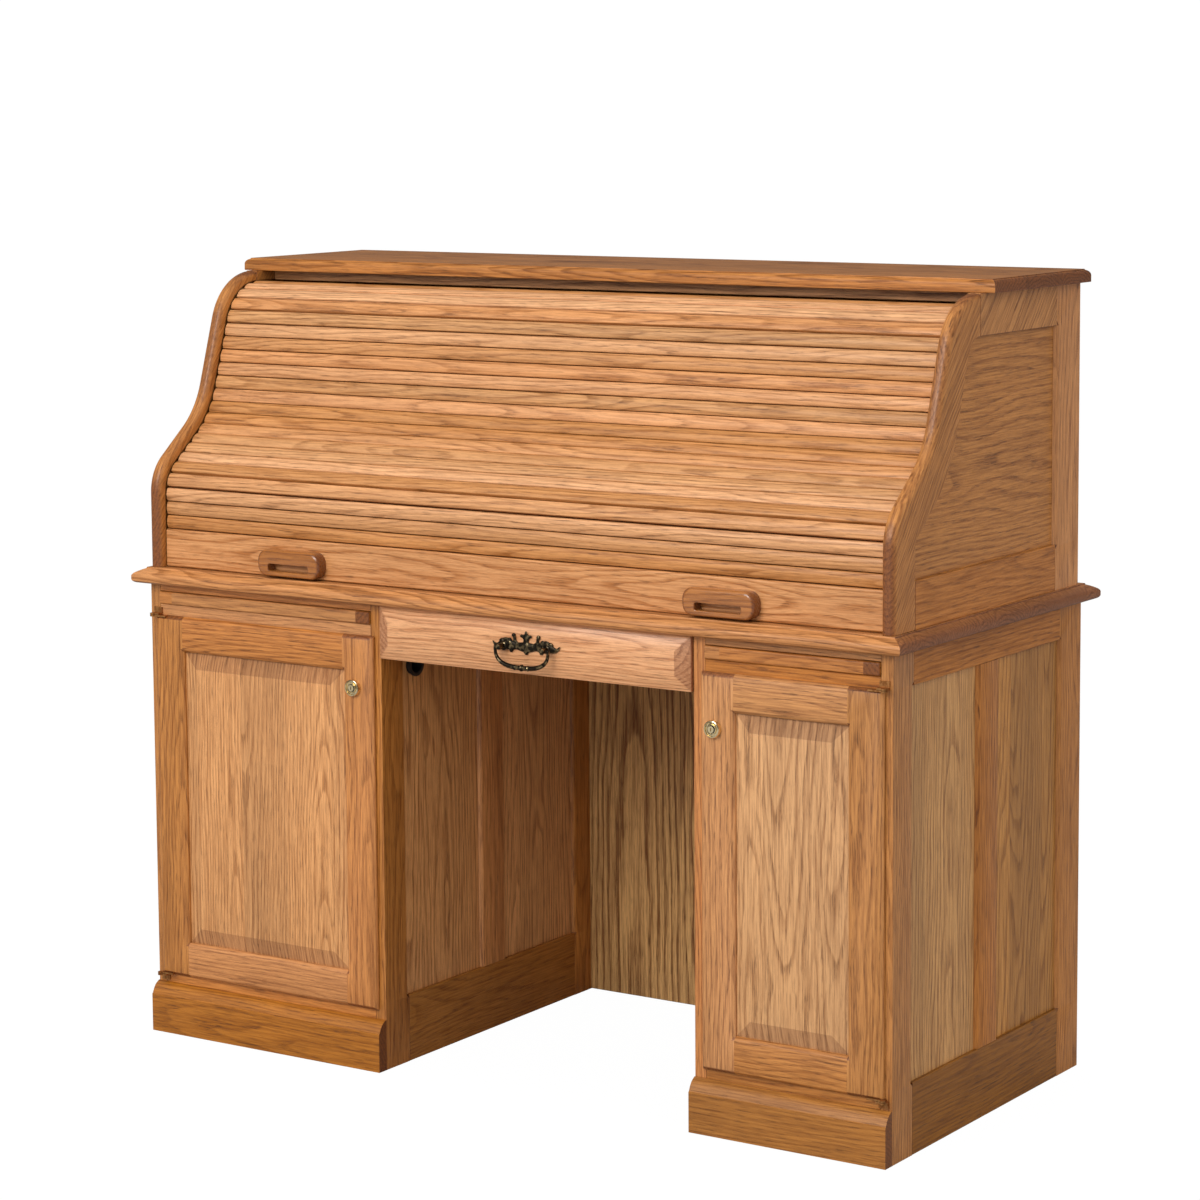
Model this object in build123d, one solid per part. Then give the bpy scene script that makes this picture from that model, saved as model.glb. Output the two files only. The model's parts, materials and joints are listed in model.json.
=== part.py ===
from build123d import *
import os

# Roll top desk. Millimetres, +Z up, +Y towards the back, X along the width.
# Every shape is drawn with y = 0 on the front face of the pedestals, and save() moves it so that the
# origin is the middle of the whole desk's footprint, at floor level.

# ---- driving sizes of the lower part
WIDTH = 1362.0
DEPTH = 599.0
DESK_H = 762.0
TOP_T = 25.0
LEFT_W = 464.0
RIGHT_W = 329.0
FRAME_T = 19.0
DESK_OVER = 22.5
FRONT_REACH = 34.5

# ---- driving sizes of the upper part
HUTCH_W = 1364.0
HUTCH_T = 22.0
HUTCH_BACK = 585.0
LID_UNDER = 1227.0
LID_T = 20.0
LID_W = 1395.0
LID_FRONT = 271.0
LID_BACK = 590.0

# ---- front line of the curved sides: a rise, then arcs and straights up to the top board
S_RISE = 120.0
S_LOW_R = 75.0
S_LOW_TURN = 51.3
S_SLOPE = 68.0
S_HOLLOW_R = 140.0
S_HOLLOW_TURN = 33.8
S_STEEP = 112.0
S_HIGH_R = 100.0
S_HIGH_TURN = 90.0 - S_LOW_TURN + S_HOLLOW_TURN

# ---- tambour
SLATS = 22
SLAT_GAP = 1.5
SLAT_BACK = 2.0
SLAT_EDGE = 6.0
SLAT_FRONT = 9.0
TRACK_IN = 25.0
LEAD_H = 62.0
LEAD_FRONT = 11.0
LEAD_BACK = 9.0
PAST_CROWN = 10.0
END_CLEAR = 1.0

# ---- places that follow from these
UNDER_TOP = DESK_H - TOP_T
LEFT_OUT = -WIDTH / 2
LEFT_IN = LEFT_OUT + LEFT_W
RIGHT_OUT = WIDTH / 2
RIGHT_IN = RIGHT_OUT - RIGHT_W
KNEE_MID = (LEFT_IN + RIGHT_IN) / 2
LEFT_BAY = (LEFT_OUT + FRAME_T, LEFT_IN - FRAME_T)
RIGHT_BAY = (RIGHT_IN + FRAME_T, RIGHT_OUT - FRAME_T)
BAYS = (LEFT_BAY, RIGHT_BAY)
HUTCH_IN = HUTCH_W / 2 - HUTCH_T
FOOTPRINT_MID = (DEPTH + DESK_OVER - FRONT_REACH) / 2

os.makedirs("parts", exist_ok=True)


def save(name, *shapes):
    """Write one node, moved to the desk's own origin."""
    moved = [Pos(0, -FOOTPRINT_MID, 0) * shape for shape in shapes]
    export_step(moved[0] if len(moved) == 1 else Compound(children=moved), f"parts/{name}.step")


def board(x, y, z):
    """A square-edged board, given its low and high end along each axis."""
    size = [axis[1] - axis[0] for axis in (x, y, z)]
    middle = [(axis[1] + axis[0]) / 2 for axis in (x, y, z)]
    return Pos(*middle) * Box(*size)


def rod(radius, length, centre, axis):
    """A round bar along one axis, by its centre."""
    turn = {"x": Rot(0, 90, 0), "y": Rot(90, 0, 0), "z": Rot(0, 0, 0)}[axis]
    return Pos(*centre) * turn * Cylinder(radius, length)


def solids_of(*shapes):
    return [solid for shape in shapes for solid in shape.solids()]


# ---- locks: where they stand and how far their cams reach into the pedestal sides
LOCK_Z = 604.0
LEFT_LOCK_X = -264.0
RIGHT_LOCK_X = 391.0
CAM_BITE = 5.0
CAM_Y = (11.5, 14.5)
CAM_HALF = 5.0
MORTISE_SPARE = 2.0


def lock_mortise(lock_x, side_x):
    """Pocket in a pedestal side for the cam of a locked door; side_x is the side's inner face."""
    outward = 1 if side_x > lock_x else -1
    x = sorted((side_x - outward, side_x + outward * (CAM_BITE + MORTISE_SPARE)))
    y = (CAM_Y[0] - MORTISE_SPARE, CAM_Y[1] + MORTISE_SPARE)
    reach = abs(side_x - lock_x) + CAM_BITE
    return board(x, y, (LOCK_Z - CAM_HALF - MORTISE_SPARE, LOCK_Z + reach * 0.75))


# ---- pedestal sides: two stiles, a middle stile, two rails and two flat panels
STILE_FRONT = 60.0
STILE_BACK = 72.0
MIDDLE_STILE = (259.0, 327.0)
RAIL_LOW = 107.0
RAIL_HIGH = 684.0
SIDE_PANEL_T = 6.0
SIDE_PANEL_IN = 6.0
TONGUE = 8.0
GROMMET_R = 16.0
GROMMET_Y = 88.0
GROMMET_Z = 631.0
GROMMET_WALL = 2.5
GROMMET_LIP = 3.0


def side_panels(x_low, shown_low):
    """The two flat panels of a pedestal side, with tongues that enter the frame."""
    inset = SIDE_PANEL_IN if shown_low else FRAME_T - SIDE_PANEL_IN - SIDE_PANEL_T
    x = (x_low + inset, x_low + inset + SIDE_PANEL_T)
    z = (RAIL_LOW - TONGUE, RAIL_HIGH + TONGUE)
    windows = ((STILE_FRONT, MIDDLE_STILE[0]), (MIDDLE_STILE[1], DEPTH - STILE_BACK))
    return [board(x, (low - TONGUE, high + TONGUE), z) for low, high in windows]


def side_members(x_low):
    """Stiles and rails of one pedestal side, before they are grooved."""
    x = (x_low, x_low + FRAME_T)
    between = (STILE_FRONT, DEPTH - STILE_BACK)
    return [
        board(x, (0, STILE_FRONT), (0, UNDER_TOP)),
        board(x, MIDDLE_STILE, (RAIL_LOW, RAIL_HIGH)),
        board(x, (DEPTH - STILE_BACK, DEPTH), (0, UNDER_TOP)),
        board(x, between, (0, RAIL_LOW)),
        board(x, between, (RAIL_HIGH, UNDER_TOP)),
    ]


def pedestal_sides():
    grommet_hole = rod(GROMMET_R, FRAME_T * 3, (LEFT_IN, GROMMET_Y, GROMMET_Z), "x")
    left_pocket = lock_mortise(LEFT_LOCK_X, LEFT_BAY[1])
    right_pocket = lock_mortise(RIGHT_LOCK_X, RIGHT_BAY[0])
    every_panel = []
    for name, x_low, shown_low in (
        ("left_outer", LEFT_OUT, True),
        ("left_inner", LEFT_IN - FRAME_T, False),
        ("right_inner", RIGHT_IN, True),
        ("right_outer", RIGHT_OUT - FRAME_T, False),
    ):
        panels = side_panels(x_low, shown_low)
        cuts = panels + [grommet_hole, left_pocket, right_pocket]
        save(f"{name}_side_frame", *[member - cuts for member in side_members(x_low)])
        every_panel += [panel - grommet_hole for panel in panels]
    save("pedestal_side_panels", *every_panel)


def cable_grommet():
    sleeve_x = LEFT_IN - FRAME_T / 2
    sleeve = rod(GROMMET_R, FRAME_T, (sleeve_x, GROMMET_Y, GROMMET_Z), "x")
    lip = rod(GROMMET_R + GROMMET_LIP, GROMMET_LIP, (LEFT_IN + GROMMET_LIP / 2, GROMMET_Y, GROMMET_Z), "x")
    bore = rod(GROMMET_R - GROMMET_WALL, FRAME_T * 3, (LEFT_IN, GROMMET_Y, GROMMET_Z), "x")
    save("cable_grommet", sleeve + lip - bore)


# ---- rails, plinths, bottoms, shelves and backs of the pedestals
SLOT_Z = (703.5, 724.5)
DOOR_Z = (95.0, 686.0)
LOW_RAIL_Z = (76.0, 104.0)
RAIL_T = 19.0
RAIL_LAP = 10.0
PLINTH_H = 80.0
PLINTH_T = 19.5
PLINTH_BEVEL = 14.0
BOTTOM_Z = (80.0, 96.0)
SHELF_Z = (380.0, 398.0)
SHELF_FRONT = 40.0
BACK_T = 6.0
BACK_IN = 5.0
BACK_LOW = 20.0
PIN_R = 3.0
PIN_OUT = 9.0
PIN_FROM_EDGE = 40.0
MODESTY_FRONT = 574.0


def front_rails():
    rails = []
    for bay in BAYS:
        rails.append(board(bay, (0, RAIL_T), (SLOT_Z[1], UNDER_TOP)))
        rails.append(board(bay, (0, RAIL_T), (DOOR_Z[1] - TONGUE, SLOT_Z[0])))
        rails.append(board(bay, (RAIL_LAP, RAIL_T), (LOW_RAIL_Z[0], BOTTOM_Z[0])))
        rails.append(board(bay, (0, RAIL_LAP), LOW_RAIL_Z))
    save("front_rails", *rails)


def plinths():
    boards = []
    for x in ((LEFT_OUT, LEFT_IN), (RIGHT_IN, RIGHT_OUT)):
        plinth = board(x, (-PLINTH_T, 0), (0, PLINTH_H))
        top_edges = plinth.edges().filter_by(Axis.X).sort_by(Axis.Z)[-2:]
        boards.append(chamfer(top_edges.sort_by(Axis.Y)[0], PLINTH_BEVEL))
    save("plinths", *boards)


def pedestal_shelves():
    shelves = []
    for bay in BAYS:
        behind = DEPTH - BACK_IN - BACK_T
        shelves.append(board(bay, (RAIL_LAP, behind), BOTTOM_Z))
        loose = (bay[0] + END_CLEAR, bay[1] - END_CLEAR)
        shelves.append(board(loose, (SHELF_FRONT, behind - END_CLEAR), SHELF_Z))
    save("pedestal_shelves", *shelves)


def shelf_pins():
    pins = []
    for bay in BAYS:
        for x in (bay[0] + PIN_OUT / 2, bay[1] - PIN_OUT / 2):
            for y in (SHELF_FRONT + PIN_FROM_EDGE, DEPTH - SHELF_FRONT - PIN_FROM_EDGE):
                pins.append(rod(PIN_R, PIN_OUT, (x, y, SHELF_Z[0] - PIN_R), "x"))
    save("shelf_pins", *pins)


def back_panels():
    y = (DEPTH - BACK_IN - BACK_T, DEPTH - BACK_IN)
    panels = [board(bay, y, (BACK_LOW, UNDER_TOP)) for bay in BAYS]
    hutch_y = (HUTCH_BACK - BACK_IN - BACK_T, HUTCH_BACK - BACK_IN)
    panels.append(board((-HUTCH_IN, HUTCH_IN), hutch_y, (DESK_H, LID_UNDER)))
    save("back_panels", *panels)


def modesty_panel():
    y = (MODESTY_FRONT, MODESTY_FRONT + FRAME_T)
    save("modesty_panel", board((LEFT_IN, RIGHT_IN), y, (1, UNDER_TOP)))


# ---- cleats that carry the writing boards and the drawer
BOARD_CLEAT = 18.0
BOARD_CLEAT_H = 13.0
DRAWER_CLEAT = 14.0
DRAWER_CLEAT_Z = (652.5, 665.0)
CLEAT_BACK = 560.0
DRAWER_BACK = 470.0


def slide_cleats():
    cleats = []
    for bay in BAYS:
        for x in ((bay[0], bay[0] + BOARD_CLEAT), (bay[1] - BOARD_CLEAT, bay[1])):
            cleats.append(board(x, (RAIL_T, CLEAT_BACK), (SLOT_Z[0] - BOARD_CLEAT_H, SLOT_Z[0])))
            cleats.append(board(x, (RAIL_T, CLEAT_BACK), (SLOT_Z[1], UNDER_TOP)))
    for x in ((LEFT_IN, LEFT_IN + DRAWER_CLEAT), (RIGHT_IN - DRAWER_CLEAT, RIGHT_IN)):
        cleats.append(board(x, (8, DRAWER_BACK), DRAWER_CLEAT_Z))
    save("slide_cleats", *cleats)


# ---- desktop and top board
EDGE_ROUND = 9.0
EDGE_UNDER = 7.0
LID_EDGE = 3.0


def desktop():
    half = WIDTH / 2 + DESK_OVER
    slab = board((-half, half), (-DESK_OVER, DEPTH + DESK_OVER), (UNDER_TOP, DESK_H))
    slab = fillet(slab.faces().sort_by(Axis.Z)[-1].edges(), EDGE_ROUND)
    save("desktop", chamfer(slab.faces().sort_by(Axis.Z)[0].edges(), EDGE_UNDER))


def top_board():
    slab = board((-LID_W / 2, LID_W / 2), (LID_FRONT, LID_BACK), (LID_UNDER, LID_UNDER + LID_T))
    save("top_board", fillet(slab.edges(), LID_EDGE))


# ---- curved sides of the upper part: post, rails, rear stile and flat panel
POST_W = 62.0
HUTCH_RAIL_LOW = 832.0
HUTCH_STILE = 506.0
HUTCH_PANEL_T = 8.0
HUTCH_PANEL_IN = 7.0
GROOVE_IN = (16.0, 34.0)
GROOVE_DEEP = 7.0
GROOVE_BACK = 545.0
NOSE_R = 9.0


def s_line(inset, foot=DESK_H):
    """Front line of the curved sides moved inwards by inset, as edges in a plane of y and z."""
    rise = Line((inset, foot), (inset, DESK_H + S_RISE))
    shoulder = JernArc(rise @ 1, rise % 1, S_LOW_R - inset, -S_LOW_TURN)
    slope = Line(shoulder @ 1, shoulder @ 1 + (shoulder % 1) * S_SLOPE)
    hollow = JernArc(slope @ 1, slope % 1, S_HOLLOW_R + inset, S_HOLLOW_TURN)
    steep = Line(hollow @ 1, hollow @ 1 + (hollow % 1) * S_STEEP)
    crown = JernArc(steep @ 1, steep % 1, S_HIGH_R - inset, -S_HIGH_TURN)
    return [rise, shoulder, slope, hollow, steep, crown]


def chain(points):
    return [Line(a, b) for a, b in zip(points, points[1:])]


def ribbon(x, outer, inner):
    """A curved board between two lines parallel to the sides' front."""
    near, far = s_line(outer), s_line(inner)
    ends = [Line(near[0] @ 0, far[0] @ 0), Line(near[-1] @ 1, far[-1] @ 1)]
    face = make_face(near + far + ends)
    return Pos(x[0], 0, 0) * extrude(Plane.YZ * face, x[1] - x[0])


def hutch_panel(x):
    """Flat panel that fills the curved side's frame, with its tongue."""
    line = s_line(POST_W - TONGUE, HUTCH_RAIL_LOW - TONGUE)
    back = HUTCH_STILE + TONGUE
    top_end = line[-1] @ 1
    corners = [top_end, (back, top_end.Y), (back, HUTCH_RAIL_LOW - TONGUE), line[0] @ 0]
    face = make_face(line + chain(corners))
    return Pos(x[0], 0, 0) * extrude(Plane.YZ * face, x[1] - x[0])


def hutch_post(x):
    """Curved front post with its front arrises rounded."""
    post = ribbon(x, 0, POST_W)
    middles = [edge @ 0.5 for edge in s_line(0)]
    nose = [
        edge
        for edge in post.edges()
        if any(abs((edge @ 0.5).Y - m.X) + abs((edge @ 0.5).Z - m.Y) < 1 for m in middles)
    ]
    return fillet(nose, NOSE_R)


def hutch_side(name, x_out, inward):
    def depth(near, far):
        return sorted((x_out + inward * near, x_out + inward * far))

    x = depth(0, HUTCH_T)
    crown_y = (s_line(0)[-1] @ 1).X
    top_low = LID_UNDER - POST_W
    panel = hutch_panel(depth(HUTCH_PANEL_IN, HUTCH_PANEL_IN + HUTCH_PANEL_T))
    groove_x = depth(HUTCH_T - GROOVE_DEEP, HUTCH_T)
    groove_z = (LID_UNDER - GROOVE_IN[1], LID_UNDER - GROOVE_IN[0])
    grooves = [ribbon(groove_x, *GROOVE_IN), board(groove_x, (crown_y, GROOVE_BACK), groove_z)]
    members = [
        hutch_post(x),
        board(x, (POST_W, HUTCH_STILE), (DESK_H, HUTCH_RAIL_LOW)),
        board(x, (crown_y, HUTCH_STILE), (top_low, LID_UNDER)),
        board(x, (HUTCH_STILE, HUTCH_BACK), (DESK_H, LID_UNDER)),
    ]
    save(f"hutch_{name}_side_frame", *[member - panel - grooves for member in members])
    return panel


def hutch_sides():
    panels = [hutch_side("left", -HUTCH_W / 2, 1), hutch_side("right", HUTCH_W / 2, -1)]
    save("hutch_side_panels", *panels)


# ---- pigeonholes that stand on the desktop inside the upper part
CASE_HALF = 655.0
CASE_Y = (280.0, 500.0)
CASE_TOP = 985.0
CASE_T = 10.0
CASE_SHELF_Z = (866.0, 874.0)
DIVIDER_T = 6.0
CASE_BAYS = 8


def pigeonhole_case():
    y = (CASE_Y[0], CASE_Y[1] - BACK_T)
    low, high = DESK_H, CASE_TOP - CASE_T
    inside = (-CASE_HALF + CASE_T, CASE_HALF - CASE_T)
    boards = [
        board((-CASE_HALF, CASE_HALF), CASE_Y, (high, CASE_TOP)),
        board((-CASE_HALF, inside[0]), y, (low, high)),
        board((inside[1], CASE_HALF), y, (low, high)),
        board((-CASE_HALF, CASE_HALF), (y[1], CASE_Y[1]), (low, high)),
        board(inside, y, CASE_SHELF_Z),
    ]
    step = (inside[1] - inside[0]) / CASE_BAYS
    for number in range(1, CASE_BAYS):
        x = inside[0] + number * step
        across = (x - DIVIDER_T / 2, x + DIVIDER_T / 2)
        boards.append(board(across, y, (low, CASE_SHELF_Z[0])))
        boards.append(board(across, y, (CASE_SHELF_Z[1], high)))
    save("pigeonhole_case", *boards)


# ---- doors: lipped frames with raised panels, pivot hinges and cam locks
DOOR_FRONT = -9.5
DOOR_T = 19.0
DOOR_LIP = 8.0
LIP_CLEAR = 0.4
DOOR_EDGE = 5.0
MEMBER = 57.0
STICKING = 5.0
RAISED_SLAB = (-1.0, 5.0)
RAISED_FRONT = -7.5
RAISED_BEVEL = 26.0
LEFT_DOOR_X = (-667.0, -229.0)
RIGHT_DOOR_X = (367.5, 669.5)

LOCK_BODY_R = 8.0
LOCK_FACE_R = 12.0
LOCK_FACE_T = 7.0
PLUG_R = 5.0
PLUG_CLEAR = 0.05
PLUG_PROUD = 0.5
KEY_SLOT = (1.6, 5.0, 4.0)

HINGE_T = 2.5
HINGE_OUT = 2.5
HINGE_FRONT = -11.5
HINGE_EYE_R = 4.0
HINGE_PIN_R = 1.5
HINGE_CLEAR = 0.05
HINGE_GAP = 0.6
HINGE_LEAF = 26.0
HINGE_TAB = (12.0, 2.0)


def grown(pair, amount):
    return (pair[0] - amount, pair[1] + amount)


def raised_panel(name, opening_x, opening_z):
    """Panel with a tongue all round and a field raised by wide bevels."""
    slab = board(grown(opening_x, TONGUE), RAISED_SLAB, grown(opening_z, TONGUE))
    middle = (sum(opening_x) / 2, sum(opening_z) / 2)
    size = (opening_x[1] - opening_x[0], opening_z[1] - opening_z[0])
    foot = Plane((middle[0], RAISED_SLAB[0], middle[1]), x_dir=(1, 0, 0), z_dir=(0, -1, 0))
    crest = Plane((middle[0], RAISED_FRONT, middle[1]), x_dir=(1, 0, 0), z_dir=(0, -1, 0))
    shrink = 2 * RAISED_BEVEL
    field = loft([foot * Rectangle(*size), crest * Rectangle(size[0] - shrink, size[1] - shrink)])
    panel = slab + field
    save(name, panel)
    return slab


def door_frame(name, x, bay, slab, opening_x, opening_z, holes):
    """Stiles and rails, lipped over the pedestal's front and grooved for the panel."""
    y = (DOOR_FRONT, DOOR_FRONT + DOOR_T)
    frame = board(x, y, DOOR_Z) - board(opening_x, grown(y, 1), opening_z)
    front = frame.faces().sort_by(Axis.Y)[0]
    frame = chamfer(front.outer_wire().edges(), DOOR_EDGE)
    inner = [e for e in frame.faces().sort_by(Axis.Y)[0].inner_wires()[0].edges()]
    frame = chamfer(inner, STICKING)
    past_lip = (-LIP_CLEAR, y[1] + 1)
    body_x = (max(x[0] + DOOR_LIP, bay[0] + 1), min(x[1] - DOOR_LIP, bay[1] - 1))
    body_z = grown(DOOR_Z, -TONGUE - 2)
    frame -= board(grown(x, 1), past_lip, grown(DOOR_Z, 1)) - board(body_x, grown(past_lip, 1), body_z)
    frame -= [slab, *holes]
    stiles = [board((x[0], opening_x[0]), y, DOOR_Z), board((opening_x[1], x[1]), y, DOOR_Z)]
    rails = [
        board(opening_x, y, (DOOR_Z[0], opening_z[0])),
        board(opening_x, y, (opening_z[1], DOOR_Z[1])),
    ]
    save(name, *solids_of(*[frame & member for member in stiles + rails]))


def door_lock(side, lock_x, cam_reach):
    """Round lock body through the stile, and a plug with a cam that turns inside it."""
    face_y = DOOR_FRONT - LOCK_FACE_T
    back_y = CAM_Y[0] - 0.5
    body = rod(LOCK_BODY_R, back_y - DOOR_FRONT, (lock_x, (back_y + DOOR_FRONT) / 2, LOCK_Z), "y")
    face = rod(LOCK_FACE_R, LOCK_FACE_T, (lock_x, (face_y + DOOR_FRONT) / 2, LOCK_Z), "y")
    bore = rod(PLUG_R + PLUG_CLEAR, DOOR_T * 4, (lock_x, 0, LOCK_Z), "y")
    save(f"{side}_door_lock", body + chamfer(face.faces().sort_by(Axis.Y)[0].edges(), 2) - bore)
    plug_y = (face_y - PLUG_PROUD, CAM_Y[0])
    plug = rod(PLUG_R, plug_y[1] - plug_y[0], (lock_x, sum(plug_y) / 2, LOCK_Z), "y")
    wide, high, deep = KEY_SLOT
    slot_x = (lock_x - wide / 2, lock_x + wide / 2)
    slot = board(slot_x, (plug_y[0], plug_y[0] + deep), (LOCK_Z - high / 2, LOCK_Z + high / 2))
    cam = board((lock_x - CAM_HALF, lock_x + CAM_HALF), CAM_Y, (LOCK_Z - CAM_HALF, LOCK_Z + cam_reach))
    save(f"{side}_lock_plug", plug - slot + cam)
    return rod(LOCK_BODY_R, DOOR_T * 2, (lock_x, 0, LOCK_Z), "y")


def hinge_spots(door_x, hinge_at_low):
    """Pivot line of a door and the direction from it into the door."""
    into = 1 if hinge_at_low else -1
    edge = door_x[0] if hinge_at_low else door_x[1]
    return edge - into * HINGE_OUT, into


def door_hinges(side, door_x, hinge_at_low):
    """Leaves let into the door's top and bottom, each with an eye outside the door's corner."""
    pivot, into = hinge_spots(door_x, hinge_at_low)
    leaves = []
    for z in ((DOOR_Z[0], DOOR_Z[0] + HINGE_T), (DOOR_Z[1] - HINGE_T, DOOR_Z[1])):
        leaf = board(sorted((pivot, pivot + into * HINGE_LEAF)), (HINGE_FRONT, -1), z)
        eye = rod(HINGE_EYE_R, HINGE_T, (pivot, HINGE_FRONT, sum(z) / 2), "z")
        pin_hole = rod(HINGE_PIN_R + HINGE_CLEAR, HINGE_T * 3, (pivot, HINGE_FRONT, sum(z) / 2), "z")
        leaves.append(leaf + eye - pin_hole)
    save(f"{side}_door_hinges", *leaves)
    return leaves


def frame_hinges():
    """Leaves on the pedestal fronts, each with the pin that a door's eye turns on."""
    leaves = []
    for door_x, hinge_at_low in ((LEFT_DOOR_X, True), (RIGHT_DOOR_X, False)):
        pivot, into = hinge_spots(door_x, hinge_at_low)
        for door_end, away in ((DOOR_Z[0], -1), (DOOR_Z[1], 1)):
            z = sorted((door_end + away * HINGE_GAP, door_end + away * (HINGE_GAP + HINGE_T)))
            x = sorted((pivot - into * HINGE_EYE_R, pivot + into * HINGE_TAB[0]))
            arm = board(x, (HINGE_FRONT, 0), z)
            eye = rod(HINGE_EYE_R, HINGE_T, (pivot, HINGE_FRONT, sum(z) / 2), "z")
            tab_z = sorted((door_end + away * HINGE_GAP, door_end + away * HINGE_TAB[0]))
            tab = board(x, (-HINGE_TAB[1], 0), tab_z)
            pin_ends = sorted((sum(z) / 2, door_end - away * HINGE_T))
            pin_z = sum(pin_ends) / 2
            pin = rod(HINGE_PIN_R, pin_ends[1] - pin_ends[0], (pivot, HINGE_FRONT, pin_z), "z")
            leaves.append(arm + eye + tab + pin)
    save("frame_hinges", *leaves)


def doors():
    for side, x, bay, lock_x in (
        ("left", LEFT_DOOR_X, LEFT_BAY, LEFT_LOCK_X),
        ("right", RIGHT_DOOR_X, RIGHT_BAY, RIGHT_LOCK_X),
    ):
        opening_x = grown(x, -MEMBER)
        opening_z = grown(DOOR_Z, -MEMBER)
        slab = raised_panel(f"{side}_door_panel", opening_x, opening_z)
        strike = bay[1] if side == "left" else bay[0]
        lock_hole = door_lock(side, lock_x, abs(strike - lock_x) + CAM_BITE)
        leaves = door_hinges(side, x, side == "left")
        door_frame(f"{side}_door_frame", x, bay, slab, opening_x, opening_z, [lock_hole, *leaves])
    frame_hinges()


# ---- writing boards that slide out above the doors
BOARD_Z = (704.0, 723.5)
BOARD_FRONT = -4.0
BOARD_BACK = 500.0
BOARD_CLEAR = 1.0
BOARD_END = 26.0
BOARD_NOSE = 3.0


def writing_boards():
    for side, bay in (("left", LEFT_BAY), ("right", RIGHT_BAY)):
        x = grown(bay, -BOARD_CLEAR)
        y = (BOARD_FRONT, BOARD_BACK)
        pieces = []
        for part in (
            (x[0], x[0] + BOARD_END),
            (x[0] + BOARD_END, x[1] - BOARD_END),
            (x[1] - BOARD_END, x[1]),
        ):
            piece = board(part, y, BOARD_Z)
            front = piece.faces().sort_by(Axis.Y)[0].edges().filter_by(Axis.X)
            pieces.append(fillet(front, BOARD_NOSE))
        save(f"{side}_writing_board", *pieces)


# ---- middle drawer: bevelled front, box, bottom and a hanging bail pull
DRAWER_Z = (653.0, 736.0)
DRAWER_FRONT_Y = (-15.0, 6.0)
DRAWER_BEVEL = 23.0
DRAWER_BEVEL_DEEP = 10.0
DRAWER_CLEAR = 1.2
BOX_X_CLEAR = 1.5
BOX_T = 12.0
BOX_Z = (665.5, 728.0)
BOX_BACK = 460.0
BOX_BOTTOM_Z = (672.0, 678.0)
BOX_GROOVE = 6.0

PLATE = (119.0, 33.0, 2.5)
PLATE_ROUND = 13.0
POST_HALF = 39.5
POST_R = 4.5
POST_OUT = 17.0
BAIL_Z = 696.0
BAIL_Y = -29.0
BAIL_PIN_R = 1.9
BAIL_PIN_CLEAR = 0.05
BAIL_R = 2.6
BAIL_ARM_HALF = 48.0
BAIL_DROP = 34.0
BAIL_BEND = 9.0


def drawer_front():
    x = (LEFT_IN + DRAWER_CLEAR, RIGHT_IN - DRAWER_CLEAR)
    front = board(x, DRAWER_FRONT_Y, DRAWER_Z)
    face = front.faces().sort_by(Axis.Y)[0]
    front = chamfer(face.edges(), DRAWER_BEVEL, DRAWER_BEVEL_DEEP, reference=face)
    groove_x = (x[0] + BOX_T - BOX_GROOVE, x[1] - BOX_T + BOX_GROOVE)
    save("drawer_front", front - board(groove_x, (DRAWER_FRONT_Y[1] - BOX_GROOVE, 7), BOX_BOTTOM_Z))


def drawer_box():
    x = (LEFT_IN + BOX_X_CLEAR, RIGHT_IN - BOX_X_CLEAR)
    y = (DRAWER_FRONT_Y[1], BOX_BACK)
    inside = grown(x, -BOX_T)
    bottom_y = (y[0] - BOX_GROOVE, y[1])
    bottom = board(grown(inside, BOX_GROOVE), bottom_y, BOX_BOTTOM_Z)
    walls = [
        board((x[0], inside[0]), y, BOX_Z),
        board((inside[1], x[1]), y, BOX_Z),
        board(inside, (y[1] - BOX_T, y[1]), BOX_Z),
    ]
    save("drawer_box", *[wall - bottom for wall in walls], bottom)


def drawer_pull():
    wide, high, thick = PLATE
    face_y = DRAWER_FRONT_Y[0]
    on_face = Plane((KNEE_MID, face_y, BAIL_Z), x_dir=(1, 0, 0), z_dir=(0, -1, 0))
    plate = extrude(on_face * RectangleRounded(wide, high, PLATE_ROUND), thick)
    for side in (-1, 1):
        post_x = KNEE_MID + side * POST_HALF
        plate += rod(POST_R, POST_OUT + thick, (post_x, face_y - (POST_OUT + thick) / 2, BAIL_Z), "y")
    bore = rod(BAIL_PIN_R + BAIL_PIN_CLEAR, wide, (KNEE_MID, BAIL_Y, BAIL_Z), "x")
    save("drawer_pull_plate", plate - bore)


def drawer_bail():
    """Bail with pins that enter the posts from outside."""
    low = BAIL_Z - BAIL_DROP
    left, right = KNEE_MID - BAIL_ARM_HALF, KNEE_MID + BAIL_ARM_HALF
    upright = Plane((0, BAIL_Y, 0), x_dir=(1, 0, 0), z_dir=(0, -1, 0))
    outline = Polyline((left, BAIL_Z), (left, low), (right, low), (right, BAIL_Z))
    path = upright * fillet(outline.vertices().sort_by(Axis.Y)[:2], BAIL_BEND)
    bail = sweep(Plane(path @ 0, z_dir=path % 0) * Circle(BAIL_R), path)
    for side in (-1, 1):
        pin_in = POST_HALF - POST_R
        middle = KNEE_MID + side * (pin_in + BAIL_ARM_HALF) / 2
        bail += rod(BAIL_PIN_R, BAIL_ARM_HALF - pin_in, (middle, BAIL_Y, BAIL_Z), "x")
        bail += Pos(KNEE_MID + side * BAIL_ARM_HALF, BAIL_Y, BAIL_Z) * Sphere(BAIL_R + 0.3)
    save("drawer_bail", bail)


# ---- tambour: lead rail with two finger grips, then slats up the curve to the top board
HANDLE_X = 395.0
HANDLE = (124.0, 42.0, 19.0)
HANDLE_ROUND = 12.0
HANDLE_Z = 786.0
FINGER_SLOT = (86.0, 15.0)
FINGER_Z = 784.0
LEAD_ROUND = 3.0


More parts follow.
